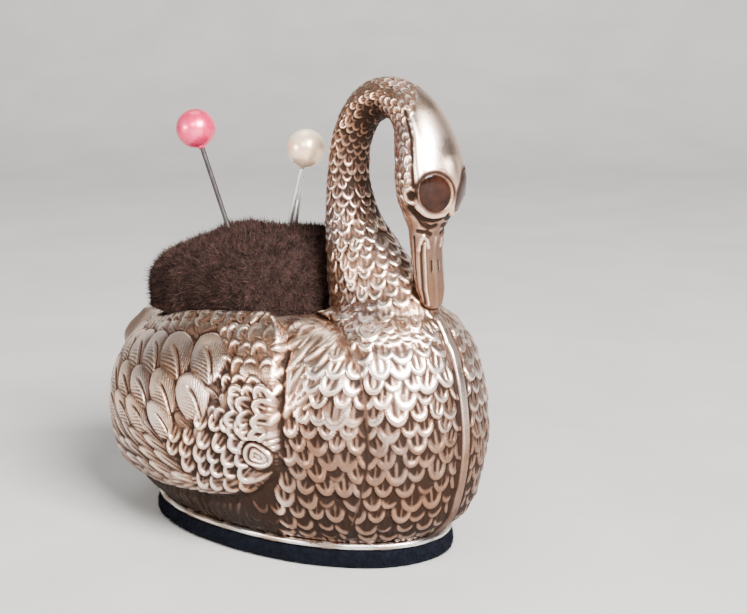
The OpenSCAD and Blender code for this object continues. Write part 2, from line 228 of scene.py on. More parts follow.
def scale_profile(a, c, length, width, vary):
    """U-shaped scale: rounded lip, fine short strands inside it, free edge at a = 1."""
    c = c + 0.15 * vary[0] * a
    q = np.sqrt(c**2 + (np.maximum(0, a - 0.4) / 0.6) ** 2)
    h = 0.4 + 0.4 * a + (0.4 + 0.1 * vary[1]) * bell(q, 0.72, 0.2) * smooth(0.2, 0.75, a)
    strands = np.cos(c * math.pi * (3.6 + 0.5 * vary[2]) + 0.9 * vary[0])
    h += 0.13 * strands * fall(0.35, 0.62, q) * smooth(0.1, 0.3, a) + 0.08 * vary[0]
    return h * (1 - 0.85 * smooth(0.86, 1.0, q)), q < 1


def plume_profile(a, c, length, width, vary):
    """Broad feather: rounded free end, thin curved quill and fine slanted barbs."""
    c = c + 0.16 * vary[0] * (a - 0.5)
    tip = np.sqrt(np.clip(1 - (np.maximum(0, a - 0.45) / 0.55) ** 2, 0, 1))
    w = np.sqrt(np.clip(a / 0.25, 0.02, 1)) * tip
    q = np.abs(c) / np.maximum(w, 0.05)
    quill = c - (0.3 + 0.1 * vary[1]) * np.sin(math.pi * np.clip(a, 0, 1)) + 0.12
    h = 0.3 + 0.5 * a + 0.38 * (1 - q**3)
    h -= 0.3 * bell(quill, 0, 0.06) * fall(0.55, 0.75, a)
    h += 0.14 * bell(quill, -0.13, 0.07) * fall(0.6, 0.8, a)
    barbs = np.sin(2 * math.pi * (a * length - np.abs(quill) * width * 0.55) / (0.46 + 0.05 * vary[2]))
    h += 0.09 * barbs * smooth(0.08, 0.25, np.abs(quill)) * fall(0.4, 0.85, a) * fall(0.7, 0.95, q)
    return h * (1 - 0.8 * smooth(0.86, 1.0, q)), (q < 1) & (a < 1)


def leaf_profile(a, c, length, width, vary):
    """Narrow pointed feather with a raised middle."""
    c = c + 0.3 * vary[0] * np.sin(math.pi * np.clip(a, 0, 1)) * 0.6
    w = np.sin(math.pi * np.clip(a, 0, 1)) ** 0.6
    q = np.abs(c) / np.maximum(w, 0.05)
    return 0.25 + 0.45 * a + 0.5 * (1 - q**1.5), q < 1


def long_profile(a, c, length, width, vary):
    """Long flight feather: nearly straight sides, quill ridge and faint barbs."""
    c = c + 0.2 * vary[0] * a * a
    w = np.clip(a / 0.15, 0.05, 1) ** 0.5 * np.sqrt(np.clip(1 - (np.maximum(0, a - 0.7) / 0.3) ** 2, 0, 1))
    q = np.abs(c) / np.maximum(w, 0.05)
    h = 0.22 + 0.5 * a + 0.42 * (1 - q**2) - 0.25 * bell(c, 0.1, 0.13) * fall(0.7, 0.9, a)
    h += 0.05 * np.sin(2 * math.pi * (a * length - np.abs(c) * width * 0.6) / 0.42) * fall(0.7, 0.9, q)
    return h * (1 - 0.7 * smooth(0.8, 1.0, q)), (q < 1) & (a < 1)


def curl_profile(a, c, length, width, vary):
    """Round curl of feathers: uneven ovals one inside the other, off centre."""
    x, y = (a - 0.5) * 2, c
    r = np.hypot(x, y)
    wobble = 0.06 * np.sin(3 * np.arctan2(y, x) + 1)
    inner = np.hypot(x + 0.16 * (1 - r), 1.2 * y - 0.2 * x * (1 - r)) + wobble
    h = 0.62 + 0.18 * np.cos(2 * math.pi * inner * 2.5) * smooth(0.05, 0.3, inner) + 0.12 * (1 - r)
    return h * (1 - 0.7 * smooth(0.8, 1.0, r)), r < 1


class Relief:
    """Heights over a grid of surface points, raised by overlapping feathers."""

    def __init__(self, points, ground):
        self.shape = points.shape[:2]
        self.points = points.reshape(-1, 3)
        self.h = np.full(len(self.points), float(ground))

    def lay(self, surface, u, th, angle, length, width, lift, profile, hang=0.5, fresh=False):
        """One feather: its middle at (u, th), its free end at angle degrees above straight back."""
        p, n, back, up = frame_at(surface, u, th)
        t = math.radians(angle)
        along = back * math.cos(t) + up * math.sin(t)
        d = self.points - (p - along * length * hang)
        a = d @ along / length
        c = d @ np.cross(n, along) / (width / 2)
        near = np.nonzero((a > 0) & (a < 1) & (np.abs(c) < 1) & (np.abs(d @ n) < 0.8 + 0.25 * length))[0]
        h, inside = profile(a[near], c[near], length, width, rng.uniform(-1, 1, 3))
        near, h = near[inside], h[inside] * lift
        self.h[near] = h if fresh else np.maximum(self.h[near], h)

    def rows(self, surface, us, span, pitch, size, angle, lift, profile, jitter=0.12):
        """Staggered rows along the sections, each from span(u)[0] to span(u)[1] degrees."""
        for k, u in enumerate(us):
            lo, hi = span(u)
            if hi - lo < 1:
                continue
            th = np.linspace(lo, hi, 80)
            pts = surface(np.full(80, u), th)
            arc = run_length(pts)
            step = pitch(u)
            count = max(1, round(arc[-1] / step))
            step = arc[-1] / count
            for j in range(count + 1 if k % 2 else count):
                edge = k % 2 and j in (0, count)
                s = (j if k % 2 else j + 0.5) * step + (0 if edge else rng.normal(0, jitter * step * 0.5))
                at = float(np.interp(np.clip(s, 0, arc[-1]), arc, th))
                length, width = size(u)
                grow = 1 if edge else 1 + rng.normal(0, jitter * 0.8)
                turn = angle(u, at) + (0 if edge else rng.normal(0, 60 * jitter))
                high = lift(u) * (1 + rng.normal(0, jitter))
                self.lay(surface, u, at, turn, length * grow, width * grow, high, profile)

    def row(self, surface, start, end, count, length, width, angles, lift, profile, jitter=0.08):
        """A line of feathers between two places (u, phi), turning from angles[0] to angles[1]."""
        for k in range(count):
            f = (k + rng.normal(0, jitter)) / max(1, count - 1)
            u, th = start[0] + (end[0] - start[0]) * f, start[1] + (end[1] - start[1]) * f
            turn = angles[0] + (angles[1] - angles[0]) * f + rng.normal(0, 50 * jitter)
            grow = 1 + rng.normal(0, jitter)
            self.lay(surface, u, min(th, 179), turn, length * grow, width * grow, lift, profile)

    def line(self, surface, path, amount, spread):
        """Adds a soft ridge, or a groove where amount is negative, along places (u, th)."""
        pts = np.array([surface(u, th) for u, th in path])
        best = np.full(len(self.points), 9.0)
        for a, b in zip(pts[:-1], pts[1:]):
            ab = b - a
            t = np.clip((self.points - a) @ ab / (ab @ ab), 0, 1)
            best = np.minimum(best, np.linalg.norm(self.points - a - t[:, None] * ab, axis=1))
        self.h += amount * bell(best, 0, spread)


def marched(surface, th, start, end, pitch):
    """Section numbers a row pitch apart along the surface."""
    us, u, last = [start], start, surface(start, th)
    while u < end:
        u += 0.01
        here = surface(u, th)
        if np.linalg.norm(here - last) >= pitch(u):
            us.append(u)
            last = here
    return us


def even_grid(surface, u_top, side, span, u_step, cols):
    """Points of a half, evenly spaced along and across: (u grid, angle grid, points)."""
    fine = np.linspace(0, u_top, 1600)
    th = np.array([side(u) for u in fine])
    path = surface(fine, th)
    weight = np.linalg.norm(np.diff(path, axis=0), axis=1) / np.array([u_step(u) for u in fine[1:]])
    arc = np.concatenate([[0], np.cumsum(weight)])
    us = np.interp(np.linspace(0, arc[-1], int(arc[-1]) + 1), arc, fine)
    angles = np.zeros((len(us), cols))
    for i, u in enumerate(us):
        lo, hi = span(u)
        th = np.linspace(lo, hi, 240)
        pts = surface(np.full(240, u), th)
        arc = run_length(pts)
        angles[i] = np.interp(np.linspace(0, arc[-1], cols), arc, th)
    grid_u = np.repeat(us[:, None], cols, 1)
    return grid_u, angles, surface(grid_u, angles)


def grid_normals(points, outwards):
    n = unit(np.cross(np.gradient(points, axis=1), np.gradient(points, axis=0)))
    return n * np.where((n * outwards).sum(-1, keepdims=True) < 0, -1, 1)


def blurred(h, radius, times=2):
    """Box blur of a grid by running sums, with the edges repeated."""
    for _ in range(times):
        for axis in (0, 1):
            pad = [(radius + 1, radius) if k == axis else (0, 0) for k in (0, 1)]
            s = np.cumsum(np.pad(h, pad, mode="edge"), axis=axis)
            a = np.take(s, range(2 * radius + 1, s.shape[axis]), axis=axis)
            b = np.take(s, range(0, s.shape[axis] - 2 * radius - 1), axis=axis)
            h = (a - b) / (2 * radius + 1)
    return h


# Right eye: its middle, how far its look turns sideways and down, and the slant of its oval
EYE_AT = np.array([19.75, -1.95, 36.9])
EYE_TURN, EYE_DOWN, EYE_SLANT = math.radians(23), math.radians(8), math.radians(-32)


def eye_axes():
    """Unit directions at the right eye: its look, and across and up from it before the slant."""
    level = math.cos(EYE_DOWN)
    look = np.array([level * math.cos(EYE_TURN), -level * math.sin(EYE_TURN), -math.sin(EYE_DOWN)])
    side = unit(np.cross(look, [0, 0, 1.0]))
    return look, side, np.cross(side, look)


# ---------------------------------------------------------------- materials


class Look:
    """A node material in the making, on one Principled shader."""

    def __init__(self, name, **fixed):
        self.material = bpy.data.materials.new(name)
        self.material.use_nodes = True
        self.nodes, self.links = self.material.node_tree.nodes, self.material.node_tree.links
        self.shader = self.nodes["Principled BSDF"]
        for socket, value in fixed.items():
            self.shader.inputs[socket.replace("_", " ")].default_value = value

    def attribute(self, name):
        node = self.nodes.new("ShaderNodeAttribute")
        node.attribute_name = name
        return node.outputs["Fac"]

    def sums(self, operation, a, b):
        node = self.nodes.new("ShaderNodeMath")
        node.operation = operation
        for k, v in enumerate((a, b)):
            if isinstance(v, (int, float)):
                node.inputs[k].default_value = v
            else:
                self.links.new(v, node.inputs[k])
        return node.outputs[0]

    def nudged(self, level, source, amount, middle=0.5):
        """The level plus a share of how far the source is from its middle."""
        return self.sums("ADD", level, self.sums("MULTIPLY", self.sums("SUBTRACT", source, middle), amount))

    def noise(self, scale, detail, rough, stretch=None):
        """Noise in object space; scale is features per metre."""
        source = self.nodes.new("ShaderNodeTexCoord").outputs["Object"]
        if stretch:
            mapping = self.nodes.new("ShaderNodeMapping")
            mapping.inputs["Scale"].default_value = stretch
            self.links.new(source, mapping.inputs[0])
            source = mapping.outputs[0]
        node = self.nodes.new("ShaderNodeTexNoise")
        node.inputs["Scale"].default_value = scale
        node.inputs["Detail"].default_value = detail
        node.inputs["Roughness"].default_value = rough
        self.links.new(source, node.inputs["Vector"])
        return node.outputs["Fac"]

    def ramp(self, source, *stops):
        """Colour ramp from (place, colour) pairs; a single number means a grey."""
        node = self.nodes.new("ShaderNodeValToRGB")
        ends = node.color_ramp.elements
        while len(ends) < len(stops):
            ends.new(0.5)
        for end, (place, colour) in zip(ends, stops):
            end.position = place
            end.color = (*np.broadcast_to(colour, 3), 1)
        self.links.new(source, node.inputs[0])
        return node.outputs[0]

    def drive(self, socket, source, *stops):
        """Drives a socket of the shader through a ramp."""
        self.links.new(self.ramp(source, *stops), self.shader.inputs[socket])

    def bump(self, height, strength, distance):
        node = self.nodes.new("ShaderNodeBump")
        node.inputs["Strength"].default_value = strength
        node.inputs["Distance"].default_value = distance
        self.links.new(height, node.inputs["Height"])
        self.links.new(node.outputs[0], self.shader.inputs["Normal"])
        return self.material


def silver_material(name, tones, patina, rough):
    """Aged silver: dark brown where its attribute is low, bright where it is high; on the swan's skins that
    attribute holds tarnish and rubbed edges together with painted shade and painted highlight.
    """
    look = Look(name, Specular_IOR_Level=0.12)
    level = look.nudged(look.attribute("worn"), look.noise(420, 5, 0.6), patina)
    level = look.nudged(level, look.noise(3800, 3, 0.6), 0.16)
    cast = ((0.38, (1.0, 0.9, 0.8)), (0.5, (1.0, 0.98, 0.96)), (0.62, (0.94, 1.0, 1.1)))
    both = look.nodes.new("ShaderNodeMix")
    both.data_type, both.blend_type = "RGBA", "MULTIPLY"
    both.inputs[0].default_value = 1.0
    look.links.new(look.ramp(level, *zip((0.05, 0.23, 0.45, 0.74), tones)), both.inputs[6])
    look.links.new(look.ramp(look.noise(170, 3, 0.6), *cast), both.inputs[7])
    look.links.new(both.outputs[2], look.shader.inputs["Base Color"])
    look.drive("Metallic", level, (0.1, 0.2), (0.4, 1.0), (0.6, 1.0), (0.9, 1.0))
    look.drive("Roughness", level, (0.1, rough[0]), (0.4, rough[1]), (0.7, rough[2]), (0.86, rough[2] + 0.09))
    return look.bump(look.noise(2400, 6, 0.7, (1.0, 1.0, 2.2)), 0.35, 0.00006)


def fibre_material(name, dark, light, sheen, tint, grain=2600, shaded=0.0):
    """Cut pile: colour varies from tuft to tuft, soft sheen at the edges."""
    look = Look(name, Roughness=0.95, Specular_IOR_Level=0.06, Sheen_Weight=sheen, Sheen_Roughness=0.5,
                Sheen_Tint=(*tint, 1))
    fine = look.noise(grain, 3, 0.7)
    level = look.sums("MULTIPLY", look.noise(900, 4, 0.6), 0.6)
    level = look.sums("ADD", level, look.sums("MULTIPLY", fine, 0.4))
    if shaded:
        level = look.nudged(level, look.attribute("shade"), shaded, 0.4)
    look.drive("Base Color", level, (0.36, dark), (0.66, light))
    return look.bump(fine, 0.8, 0.0002)


def wire_material(name, tone, rough, metal=1.0):
    look = Look(name, Metallic=metal, Specular_IOR_Level=0.4 * metal)
    worn = look.noise(1500, 4, 0.6, (1.0, 1.0, 0.12))
    look.drive("Base Color", worn, (0.3, [0.55 * c for c in tone]), (0.6, tone))
    look.drive("Roughness", worn, (0.3, rough * 1.6), (0.65, rough))
    return look.bump(worn, 0.15, 0.00003)


def pearl_material(name, deep, tone, pale):
    """Lacquered pearl: cloudy colour under a clear coat."""
    look = Look(name, Metallic=0.55, Subsurface_Weight=0.1, Subsurface_Radius=(0.001, 0.0006, 0.0006),
                Specular_IOR_Level=0.3, Coat_Weight=0.8, Coat_Roughness=0.05)
    look.drive("Base Color", look.noise(330, 3, 0.5), (0.3, deep), (0.52, tone), (0.75, pale))
    speck = look.noise(5200, 2, 0.5)
    look.drive("Roughness", speck, (0.3, 0.26), (0.7, 0.36))
    return look.bump(speck, 0.12, 0.00004)


def eye_material():
    look = Look("eye_glass", Specular_IOR_Level=0.16, Coat_Weight=0.05, Coat_Roughness=0.2)
    cloud = look.noise(900, 4, 0.6)
    look.drive("Base Color", cloud, (0.3, (0.006, 0.002, 0.001)), (0.7, (0.028, 0.009, 0.005)))
    look.drive("Roughness", cloud, (0.3, 0.14), (0.7, 0.24))
    return look.bump(cloud, 0.1, 0.00008)


def plain_material(name, low, high, rough, scale):
    look = Look(name)
    grain = look.noise(scale, 5, 0.6)
    look.drive("Base Color", grain, (0.35, low), (0.65, high))
    look.drive("Roughness", grain, (0.3, rough), (0.7, min(1, rough + 0.12)))
    return look.bump(grain, 0.2, 0.0001)


SILVER = silver_material(
    "aged_silver", ((0.015, 0.007, 0.004), (0.1, 0.054, 0.038), (0.33, 0.197, 0.134), (0.92, 0.71, 0.585)),
    0.4, (0.6, 0.34, 0.25))
RIM_SILVER = silver_material(
    "rim_silver", ((0.1, 0.06, 0.045), (0.2, 0.14, 0.11), (0.5, 0.4, 0.33), (0.86, 0.78, 0.7)),
    0.5, (0.4, 0.24, 0.16))
EYE = eye_material()
BROWN_VELVET = fibre_material(
    "brown_velvet", (0.006, 0.003, 0.003), (0.03, 0.018, 0.015), 0.1, (0.75, 0.55, 0.5))
BROWN_FIBRE = fibre_material(
    "brown_fibre", (0.003, 0.0016, 0.0016), (0.065, 0.034, 0.028), 0.04, (0.8, 0.6, 0.55), 5000, 0.35)
NAVY_VELVET = fibre_material(
    "navy_velvet", (0.0012, 0.0014, 0.0026), (0.004, 0.005, 0.009), 0.04, (0.35, 0.4, 0.55))
STEEL_DARK = wire_material("steel_wire", (0.035, 0.03, 0.03), 0.34, 0.35)
STEEL_BRIGHT = wire_material("needle_steel", (0.9, 0.89, 0.87), 0.3)
PINK = pearl_material("pink_pearl", (0.55, 0.008, 0.07), (0.8, 0.022, 0.12), (0.95, 0.1, 0.24))
CREAM = pearl_material("cream_pearl", (0.95, 0.66, 0.44), (1.0, 0.77, 0.56), (1.0, 0.88, 0.72))
WOOD = plain_material("board_wood", (0.25, 0.14, 0.07), (0.42, 0.27, 0.15), 0.6, 500)
WOOL = plain_material("wool_stuffing", (0.45, 0.38, 0.3), (0.7, 0.62, 0.52), 0.9, 1500)


# ---------------------------------------------------------------- skins of the swan
SCALE_ROWS = marched(body_point, 40, 0.25, 6.2, lambda v: 1.43)


def body_relief(points, u, phi):
    """Feathers of the shoulder, the wing, the strip under it and the tail."""
    r = Relief(points, 0.0)
    surface = body_point
    # shoulder: scales, with slanting streaks above that grow broader towards the breast
    far = curve([0, 2.2, 4.2, 6.6], [94, 64, 62, 50])
    r.rows(surface, [v for v in SCALE_ROWS if v < 6.5], lambda v: (float(furrow(v)), far(v)),
           lambda v: 2.02, lambda v: (2.85, 2.25),
           lambda v, at: -90 - (at - 40) * 0.25 + 20 * smooth(3.8, 5, v), lambda v: 0.29, scale_profile, 0.16)
    near = curve([4, 5.6, 6.6, 8], [54, 52, 45, 28])
    r.rows(surface, marched(surface, 55, 4.2, 7.7, lambda v: 0.8), lambda v: (near(v), 64.5),
           lambda v: 0.8, lambda v: (3.0, 0.9), lambda v, at: -55, lambda v: 0.24, leaf_profile, 0.25)

    # small flat scales near the mouth
    for k, v in enumerate((7.6, 7.2, 6.8, 6.45)):
        r.row(surface, (v, 71 + 2 * (k % 2)), (v, 172), 19 - k, 2.5, 1.5, (20, 6), 0.22, scale_profile)
    # wing: a coat of small feathers, then rough scales in front and broad plumes behind
    coat = marched(surface, 120, 1.7, 6.9, lambda v: 1.6)
    r.rows(surface, coat, lambda v: (66.5, 178), lambda v: 2.0, lambda v: (3.4, 2.3),
           lambda v, at: 42 - (at - 68) * 0.25, lambda v: 0.2, plume_profile, 0.2)
    for k, v in enumerate((6.35, 5.8, 5.25, 4.75, 4.25, 3.8)):
        r.row(surface, (v, 70 + 2.4 * (k % 2)), (v + 0.05, 86 + 2 * (k % 2)), 5, 2.7, 2.1, (62, 44), 0.29,
              scale_profile, 0.14)
    for v, a, drop, count, length, width, angles in (
        (5.45, 89, 0.45, 8, 4.8, 5.0, (48, 30)),
        (4.25, 91.5, 0.4, 8, 4.8, 4.7, (46, 25)),
        (3.4, 103, 0.3, 7, 4.7, 3.8, (38, 17)),
    ):
        r.row(surface, (v, a), (v - drop, 167), count, length, width, angles, 0.46, plume_profile, 0.05)
    # round scales under them
    for v, a, b, n in (
        (3.75, 75, 88, 4), (3.22, 77, 97, 5), (2.85, 75, 98, 6), (2.52, 74, 93, 5), (2.15, 75, 89, 4),
    ):
        r.row(surface, (v, a), (v - 0.05, b), n, 2.6, 2.0, (-46, -60), 0.42, scale_profile, 0.06)
    # long feathers behind them, and along the lower edge
    for v, a, length, width, tilt in (
        (2.95, 106, 6.0, 1.7, 24), (2.6, 103, 6.2, 1.6, 18),
        (2.25, 99, 6.4, 1.45, 12), (1.95, 94, 6.0, 1.3, 7),
    ):
        r.row(surface, (v, a), (v - 0.15, 170), 11, length, width, (tilt, tilt - 6), 0.36, long_profile, 0.08)
    for k in range(4):
        r.row(surface, (2.42 - 0.2 * k, 71 + 3.5 * k), (1.92 - 0.1 * k, 100), 9 - k, 3.3, 0.95, (-24, -6),
              0.3, leaf_profile, 0.12)
        r.row(surface, (1.78 - 0.09 * k, 97 + 2 * k), (1.66 - 0.09 * k, 174), 15, 4.6, 1.05, (-2, 5), 0.28,
              long_profile, 0.1)
    for k, turn in enumerate((44, 26, 8, -10, -26)):
        for at in (69.2, 73.0, 76.6):
            r.lay(surface, 4.5 - 0.32 * k + rng.normal(0, 0.05), at + rng.normal(0, 0.5),
                  turn + rng.normal(0, 9), 2.9, 2.1, 0.44, scale_profile)
    r.lay(surface, 3.0, 71.2, 8, 3.5, 3.0, 0.5, curl_profile, fresh=True)
    # strip under the wing: upright strands
    for k, v in enumerate((1.2, 0.85, 0.45)):
        r.row(surface, (v, 78 + k), (v, 178), 40, 1.9, 1.05, (-66 - 14 * k, -76 - 8 * k), 0.25,
              leaf_profile, 0.14)
    h = r.h.reshape(r.shape)

    # tail: smooth, with long shallow vanes
    tail_side = smooth(164, 173, phi) * smooth(3.2, 4.2, u) * fall(7.0, 7.5, u)
    vanes = 0.2 + 0.05 * np.sin(np.radians((phi - 180) * 26))
    h = h * (1 - tail_side) + vanes * tail_side

    # plain rounded leading edge of the wing, and shadowed steps in front of it and under it
    below = u - wing_edge(phi)
    edge = smooth(64.5, 66, phi) * fall(67.2, 69.0, phi) * smooth(6.0, 6.8, u) * fall(7.0, 7.6, u)
    h = h * (1 - 0.6 * edge) + 0.2 * edge
    step = bell(phi, 64.8, 0.9) * smooth(2.4, 3.0, u) * fall(5.5, 7.0, u)
    under = bell(below, -0.22, 0.13) * smooth(65, 68, phi)
    h = h - 0.16 * step - 0.22 * under
    # rolled lip round the mouth, and a plain band above the rim wire
    lip = smooth(7.75, 7.92, u)
    h = h * (1 - lip) + (0.07 + 0.04 * np.sin(np.radians(phi * 19))) * lip
    band = 1 - smooth(0.02, 0.12, u)
    return h * (1 - band) - 0.02 * band


def eye_oval(points):
    """Distance from the eye in its own oval measure, height above it, and whether it is close in depth."""
    look, side, rise = eye_axes()
    d = points - EYE_AT
    a, b, deep = d @ side, d @ rise, d @ look
    c, s = math.cos(EYE_SLANT), math.sin(EYE_SLANT)
    return np.hypot(a * c + b * s, (-a * s + b * c) / 1.17), b, np.abs(deep) < 1.6


def neck_tarnish_and_painted_light(u, th):
    """Tarnish on the beak, a darker seam ridge on the breast and darker edges round the eye, with painted
    shade and painted highlight on the breast, the neck's arch, the hollow below the eye and the crown.
    """
    oval, b, there = eye_oval(neck_point(u, th))
    # darker over the eye's upper lid and in a thin line round its edge
    brow = 0.45 * bell(oval, 1.85, 0.2) * smooth(-0.9, 0.3, b)
    brow = brow + 0.36 * bell(oval, 1.85, 0.3) * smooth(-1.6, 0.2, b + 0.4)
    brow = brow + 0.5 * bell(oval, 1.76, 0.15)
    # painted shade in the hollow below the eye
    hollow = 0.42 * bell(oval, 2.5, 0.2) * smooth(1.1, 1.8, -b)
    beak = 0.16 * smooth(27.2, 28.2, u)
    # painted shade on the neck's arch, strongest on its inner side
    arch = (0.14 + 0.28 * fall(40, 110, th)) * smooth(12, 15, u) * fall(20, 22, u)
    ridge = 0.2 * fall(0.4, 0.9, np.abs(neck_point(u, th)[..., 1])) * (u < 9) * (th < 40)
    # the crown polished brighter, partly a painted highlight
    polish_and_highlight = 0.3 * smooth(108, 124, th) * smooth(21.5, 22.6, u) * fall(26.2, 26.9, u)
    # painted shade low on the breast, painted highlight on the upper breast
    low = 0.1 * fall(3.6, 5.2, u) - 0.13 * smooth(4.6, 5.6, u) * fall(8.0, 9.0, u)
    return there * (brow + hollow) + beak + arch + ridge + low - polish_and_highlight


def neck_relief(points, u, th):
    """Scales of the breast and neck, smooth crown, lids and beak."""
    r = Relief(points, 0.0)
    sections = [0, 6, 8, 10, 14, 18, 20, 22, 27]
    row_pitch = curve(sections, [1.45, 1.4, 1.25, 1.1, 0.86, 0.66, 0.6, 0.66, 0.78])
    across = curve(sections, [2.05, 2.0, 1.7, 1.5, 1.22, 0.98, 0.88, 0.9, 0.98])
    lift = curve([0, 6, 9, 14, 19, 26], [0.3, 0.28, 0.22, 0.18, 0.13, 0.12])
    last = curve([8, 21.2, 22.3, 24, 26.6], [180, 180, 122, 104, 96])
    span = lambda v: (math.degrees(0.95 / float(through(BREAST, v)[3])) if v < 7 else 2.0,
                      float(end_angle(v)) if v < 8 else last(v))
    us = SCALE_ROWS + marched(neck_point, 80, SCALE_ROWS[-1] + 0.45, 26.6, row_pitch)
    r.rows(neck_point, us, span, across, lambda v: (row_pitch(v) * 2.0, across(v) * 1.12),
           lambda v, at: -90, lift, scale_profile, 0.15)
    h = r.h.reshape(r.shape)

    # smooth head and beak
    head = [21, 22.3, 24, 26.6]
    crown = smooth(np.interp(u, head, [186, 116, 104, 95]), np.interp(u, head, [192, 122, 110, 101]), th)
    crown = np.maximum(np.where(u > 21, crown, 0), smooth(26.4, 27.1, u))
    r.h = (h * (1 - crown) + 0.1 * crown).ravel()
    # ridges and grooves of the brow, the beak's base, the mouth, the nostril and the beak's top
    for amount, spread, *path in (
        (0.09, 0.22, (21.9, 121), (23, 119), (24.5, 118), (25.6, 117), (26.3, 116)),
        (-0.14, 0.16, (21.9, 111), (23, 108), (24.5, 106), (25.2, 107)),
        (0.2, 0.24, (26.3, 114), (26.9, 128), (27.1, 148), (26.9, 170)),
        (-0.3, 0.22, (26.7, 106), (27.1, 116), (27.6, 130), (27.85, 150), (27.75, 166)),
        (0.28, 0.9, (24.2, 180), (26.6, 180)),
        (-0.3, 0.15, (28.05, 112), (28.1, 128), (28.15, 146), (28.3, 160)),
        (0.13, 0.2, (29.1, 121), (28.6, 126), (28.4, 138), (28.6, 150), (29.0, 155)),
        (0.1, 0.13, (28.8, 142), (30, 140), (31, 136), (32.2, 130)),
        (-0.11, 0.14, (28.9, 128), (30, 125), (31, 120), (32, 112)),
        (-0.08, 0.14, (28.4, 92), (30, 88), (31.5, 84)),
        (0.08, 0.22, (28.5, 180), (32.6, 180)),
        (-0.22, 0.1, (29.7, 166), (30.15, 165)),
    ):
        r.line(neck_point, path, amount, spread)
    # small pit behind the eye
    ring = np.linalg.norm(r.points - neck_point(25.6, 103), axis=1)
    r.h += 0.14 * bell(ring, 0.7, 0.18) - 0.18 * bell(ring, 0, 0.4)

    # seat of the eye: a raised oval lid round a shallow hollow
    oval, b, there = eye_oval(r.points)
    below = smooth(-0.6, 1.0, -b)
    r.h += there * ((0.02 + 0.12 * below) * bell(oval, 1.92, 0.2) - 0.3 * fall(1.42, 1.66, oval))
    r.h -= there * 0.36 * smooth(1.1, 1.8, -b) * bell(oval, 2.5, 0.2)

    # polished seam ridge down the breast
    h = r.h.reshape(r.shape)
    y = np.abs(points[..., 1])
    ridge = fall(0.36, 0.78, y) * fall(6.6, 9, u) * (th < 40)
    h = np.maximum(h * (1 - ridge), 0.4 * ridge) - 0.12 * bell(y, 0.92, 0.2) * (u < 6.6) * (th < 40)
    band = 1 - smooth(0.02, 0.12, u)
    return h * (1 - band) + np.maximum(-0.05, 0.4 * ridge) * band


def zipped(p, q):
    """Triangles between two lists of vertex numbers that run the same way, whatever their counts."""
    faces, i, j = [], 0, 0
    while i < len(p) - 1 or j < len(q) - 1:
        if j == len(q) - 1 or (i < len(p) - 1 and (i + 1) * (len(q) - 1) <= (j + 1) * (len(p) - 1)):
            faces.append((p[i], p[i + 1], q[j]))
            i += 1
        else:
            faces.append((p[i], q[j + 1], q[j]))
            j += 1
    return faces


def grid_quads(rows, cols, start=0):
    i, j = np.meshgrid(np.arange(rows - 1), np.arange(cols - 1), indexing="ij")
    a = (start + i * cols + j).ravel()
    return np.stack([a, a + 1, a + cols + 1, a + cols], -1).tolist()


def every(count, step):
    """Every step-th number below count, with the last one."""
    picked = list(range(0, count, step))
    return picked if picked[-1] == count - 1 else picked + [count - 1]


def half_skin(outer, inner, inner_rows, coarse=6):
    """Closed half shell: a fine outer skin, a coarse inner one on its first inner_rows rows, and edges."""
    rows, cols = outer.shape[:2]
    keep_i, keep_j = every(inner_rows, coarse), every(cols, coarse)
    verts = np.concatenate([outer.reshape(-1, 3), inner[np.ix_(keep_i, keep_j)].reshape(-1, 3)])
    base, ci, cj = rows * cols, len(keep_i), len(keep_j)
    at = lambda i, j: i * cols + j
    deep = lambda i, j: base + i * cj + j
    faces = grid_quads(rows, cols) + grid_quads(ci, cj, base)
    faces += zipped([at(0, j) for j in range(cols)], [deep(0, j) for j in range(cj)])
    faces += zipped([at(i, 0) for i in range(inner_rows)], [deep(i, 0) for i in range(ci)])
    faces += zipped([at(i, cols - 1) for i in range(inner_rows)], [deep(i, cj - 1) for i in range(ci)])
    if inner_rows == rows:
        faces += zipped([at(rows - 1, j) for j in range(cols)], [deep(ci - 1, j) for j in range(cj)])
    else:
        # the end of the hollow, then the seam faces of the solid part, then its tip
        end = inner_rows - 1
        rim = [deep(ci - 1, j) for j in range(cj)]
        faces += [(rim[0], rim[k], rim[k + 1]) for k in range(1, cj - 1)]
        faces += [(at(end, 0), rim[0], rim[-1]), (at(end, 0), rim[-1], at(end, cols - 1))]
        for i in range(end, rows - 1):
            faces.append((at(i, 0), at(i + 1, 0), at(i + 1, cols - 1), at(i, cols - 1)))
        last = [at(rows - 1, j) for j in range(cols)]
        faces += [(last[0], last[k], last[k + 1]) for k in range(1, cols - 1)]
    return verts, faces


def tube_faces(rings, around):
    """Quads between closed rings of points, one ring after another."""
    return [(i * around + k, i * around + m, (i + 1) * around + m, (i + 1) * around + k)
            for i in range(rings - 1) for k, m in zip(range(around), [*range(1, around), 0])]


def capped_faces(rings, around):
    """The same with a face at each end."""
    ends = [tuple(range(around)), tuple(range((rings - 1) * around, rings * around))]
    return tube_faces(rings, around) + ends


def linked(name, data):
    obj = bpy.data.objects.new(name, data)
    bpy.context.scene.collection.objects.link(obj)
    return obj


def placed(name, mesh, body, material, values):
    """Makes a mesh an object with a material and point values, riding on a body."""
    for key, data in values.items():
        mesh.attributes.new(key, "FLOAT", "POINT").data.foreach_set("value", np.asarray(data, np.float32))
    mesh.materials.append(material)
    obj = linked(name, mesh)
    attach(obj, body)
    return obj


